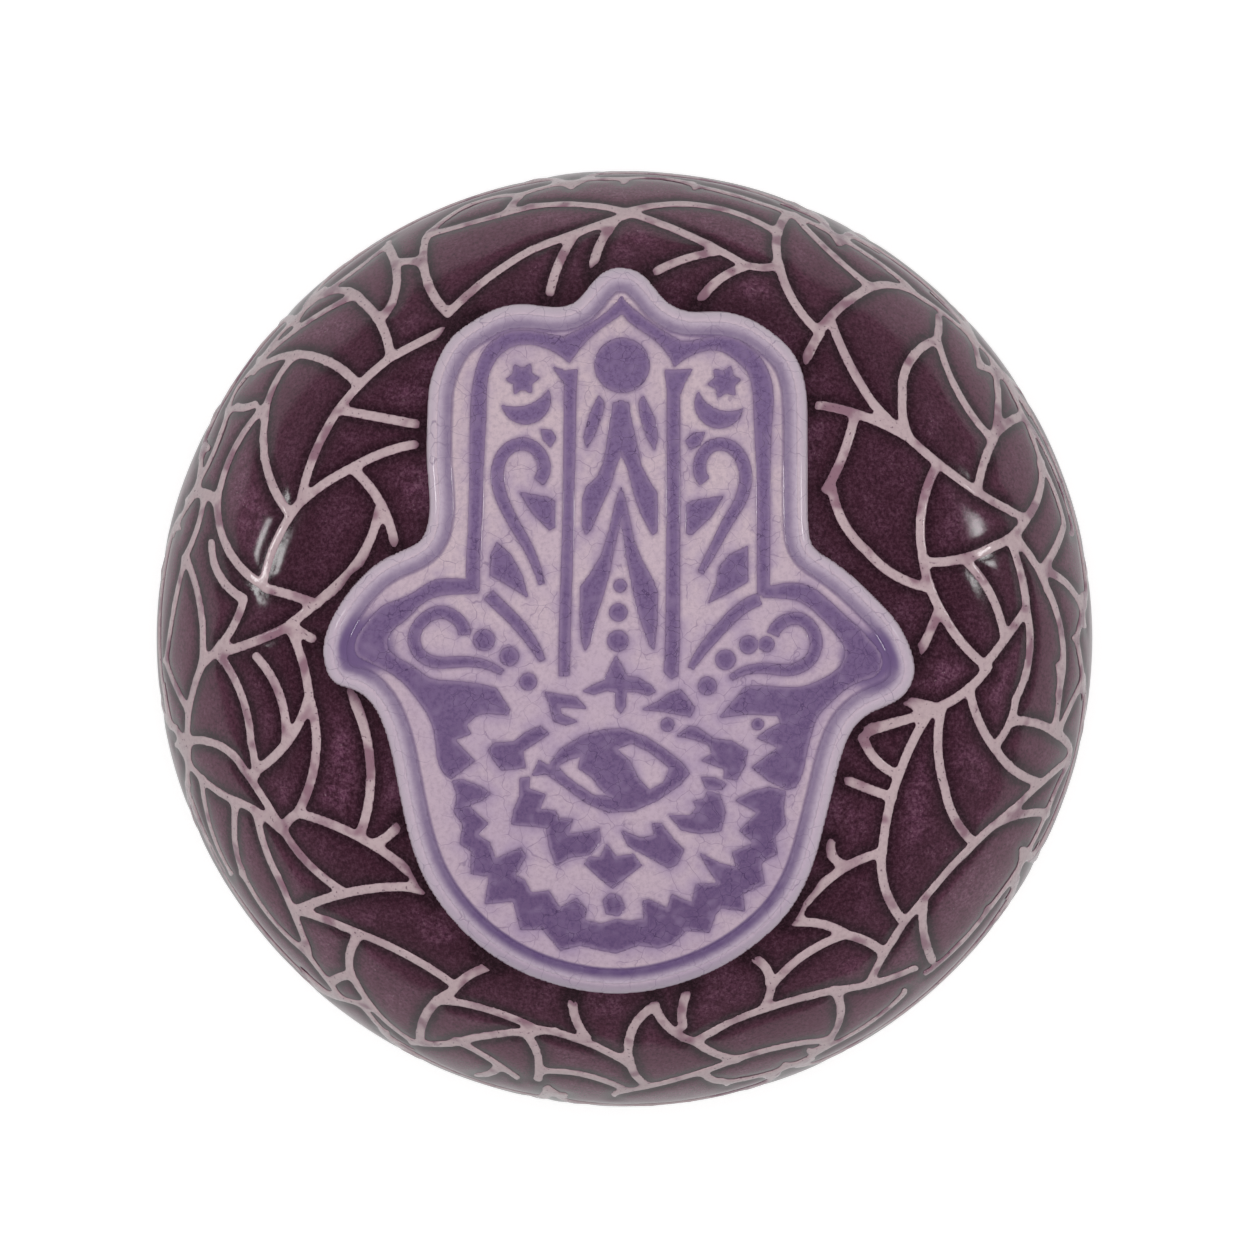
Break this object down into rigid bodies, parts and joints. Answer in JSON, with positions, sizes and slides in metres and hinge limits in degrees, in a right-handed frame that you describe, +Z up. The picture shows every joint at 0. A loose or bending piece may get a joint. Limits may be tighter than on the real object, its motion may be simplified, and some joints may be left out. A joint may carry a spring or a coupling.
{
  "type": "hamsa hand ornament",
  "caption": "Domed ceramic ornament with a stamped lilac hamsa hand on its crown and a net of trailed pale lines over dark plum glaze.",
  "frame": {"origin": "middle of the felt pad's underside, where the ornament rests", "axes": "+Z up out of the crown, +Y towards the hand's fingertips, +X to the right of the hand"},
  "size_m": [0.096, 0.0964, 0.0494],
  "materials": {
    "dark_glaze": "dark plum translucent gloss glaze",
    "hand_glaze": "pale lilac crackled gloss glaze",
    "pooled_glaze": "violet glaze pooled in the stamped pattern",
    "trailed_slip": "raised pale pink slip under gloss glaze",
    "bare_clay": "unglazed fired clay",
    "felt": "dark wool felt"
  },
  "bodies": {
    "root": {"dome_shell": "dark_glaze", "base_slip_ring": "bare_clay", "base_disc": "bare_clay", "felt_pad": "felt", "hand_slip_bed": "bare_clay", "hamsa_slab": "hand_glaze", "trailed_lines_upper": "trailed_slip", "trailed_lines_lower": "trailed_slip", "glaze_rim_band": "pooled_glaze", "glaze_border_groove": "pooled_glaze", "glaze_sun_disc": "pooled_glaze", "glaze_stars": "pooled_glaze", "glaze_crescents": "pooled_glaze", "glaze_finger_bars": "pooled_glaze", "glaze_chevrons": "pooled_glaze", "glaze_leaves": "pooled_glaze", "glaze_dots": "pooled_glaze", "glaze_finger_scrolls": "pooled_glaze", "glaze_thumb_scrolls": "pooled_glaze", "glaze_palm_bars": "pooled_glaze", "glaze_cross": "pooled_glaze", "glaze_wings": "pooled_glaze", "glaze_eye": "pooled_glaze", "glaze_inner_rays": "pooled_glaze", "glaze_outer_rays": "pooled_glaze"}
  },
  "joints": []
}
